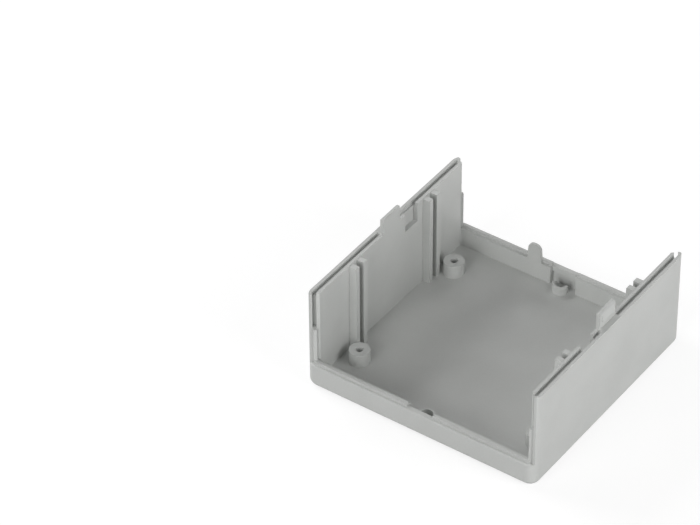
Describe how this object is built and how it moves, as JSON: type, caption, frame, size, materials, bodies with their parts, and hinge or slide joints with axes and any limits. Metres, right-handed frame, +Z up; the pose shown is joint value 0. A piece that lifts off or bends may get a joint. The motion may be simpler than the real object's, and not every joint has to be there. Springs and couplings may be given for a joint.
{
  "type": "snap-together enclosure half",
  "caption": "Square moulded plastic enclosure half: tall side walls with snap tabs and board guide ribs, low front and back walls, screw bosses, and a grooved joint that meets a matching half.",
  "frame": {"origin": "centre of the flat underside", "axes": "+Z up, out of the open side; the tall walls with the snap tabs face -X and +X, the low walls face -Y and +Y, the guide tongue stands on the +Y wall"},
  "size_m": [0.08, 0.08, 0.0396],
  "materials": {
    "shell_plastic": "fine satin moulding texture"
  },
  "bodies": {
    "root": {"housing_shell": "shell_plastic"}
  },
  "joints": []
}
